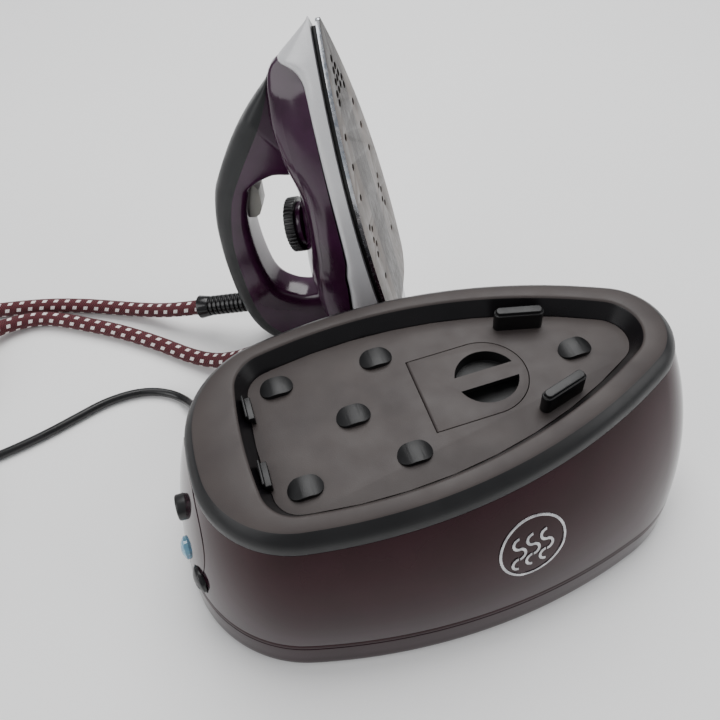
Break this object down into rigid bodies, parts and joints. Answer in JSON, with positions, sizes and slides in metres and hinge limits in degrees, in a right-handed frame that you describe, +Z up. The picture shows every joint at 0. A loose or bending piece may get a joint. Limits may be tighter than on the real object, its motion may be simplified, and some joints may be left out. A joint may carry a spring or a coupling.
{
  "type": "steam generator iron",
  "caption": "Steam iron standing on its heel behind a pressurised base station with a tilted rest, filler lid, braided steam hose and mains lead.",
  "frame": {"origin": "on the table, at the middle of the footprint of the base and the standing iron, leads left out", "axes": "+X along the base from its control end to its nose, +Z up, +Y to the side where the iron stands"},
  "size_m": [0.721, 0.4365, 0.3013],
  "materials": {
    "aubergine_gloss": "glossy moulded",
    "deck_grey": "fine matte",
    "rubber": "matte",
    "silver_paint": "satin metallic",
    "soft_black": "soft touch matte",
    "trigger_grey": "satin",
    "lamp_blue": "translucent",
    "chrome_trim": "polished",
    "sole_metal": "enamelled, brushed",
    "cast_aluminium": "as cast",
    "steel": "satin",
    "brass": "satin",
    "element_sheath": "oxidised",
    "ceramic": "matte",
    "circuit_board": "solder resist",
    "tank_clear": "translucent",
    "silicone": "matte",
    "black_plastic": "fine matte",
    "hose_braid": "woven sleeve",
    "cord_pvc": "satin"
  },
  "bodies": {
    "base": {"bottom_pan": "aubergine_gloss", "side_shell": "aubergine_gloss", "top_deck": "deck_grey", "rest_plate": "deck_grey", "rest_pads": "rubber", "rest_guides": "rubber", "heel_hooks": "rubber", "lid_pin": "steel", "filler_cup": "black_plastic", "water_tank": "tank_clear", "feed_pump": "black_plastic", "feed_tubes": "silicone", "boiler": "steel", "boiler_element": "element_sheath", "boiler_saddles": "black_plastic", "steam_valve": "brass", "steam_pipe": "silicone", "thermal_cutout": "ceramic", "control_board": "circuit_board", "control_panel": "aubergine_gloss", "lamp_lens": "lamp_blue", "badge_ring": "chrome_trim", "rubber_feet": "rubber", "base_screws": "steel", "hose_gland": "rubber", "mains_gland": "rubber", "steam_hose": "hose_braid", "hose_coil": "hose_braid", "mains_lead": "cord_pvc", "lead_coil": "cord_pvc", "mains_plug": "cord_pvc"},
    "iron": {"soleplate": "sole_metal", "sole_heater": "cast_aluminium", "heating_element": "element_sheath", "chamber_cover": "steel", "heat_shield": "black_plastic", "silver_skirt": "silver_paint", "body_shell": "aubergine_gloss", "handle_frame": "aubergine_gloss", "handle_cover": "soft_black", "heel_rest": "rubber", "trigger_pin": "steel", "trigger_spring": "steel", "microswitch": "black_plastic", "iron_thermostat": "ceramic", "iron_fuse": "ceramic", "steam_inlet": "silicone", "strain_relief": "rubber", "iron_screws": "steel"},
    "trigger": {"steam_trigger": "trigger_grey"},
    "dial": {"dial_ring": "black_plastic", "dial_collar": "aubergine_gloss", "dial_shaft": "steel"},
    "lid": {"filler_lid": "deck_grey", "lid_seal": "silicone"},
    "power": {"power_button": "black_plastic"},
    "rinse": {"rinse_cap": "black_plastic"}
  },
  "joints": [
    {"name": "iron_lift", "type": "slide", "parent": "base", "child": "iron", "axis": [0, 0, 1], "range_m": [0, 0.15]},
    {"name": "trigger_squeeze", "type": "hinge", "parent": "iron", "child": "trigger", "pos_m": [-0.08776, 0.14494, 0.1705], "axis": [0.3907, 0.9205, 0], "range_deg": [0, 8], "stiffness_Nm_per_rad": 0.05, "springref_deg": -2.86},
    {"name": "dial_turn", "type": "hinge", "parent": "iron", "child": "dial", "pos_m": [-0.05139, 0.1295, 0.13397], "axis": [-0.8932, 0.3791, -0.2419], "range_deg": [0, 270]},
    {"name": "lid_hinge", "type": "hinge", "parent": "base", "child": "lid", "pos_m": [-0.01394, -0.05921, 0.12538], "axis": [0, -1, 0], "range_deg": [0, 90]},
    {"name": "power_press", "type": "slide", "parent": "base", "child": "power", "axis": [1, 0, 0], "range_m": [0, 0.002], "stiffness_N_per_m": 400},
    {"name": "rinse_turn", "type": "hinge", "parent": "base", "child": "rinse", "pos_m": [-0.18382, -0.10221, 0.0455], "axis": [0.9781, 0.2079, 0], "range_deg": [0, 90]}
  ]
}
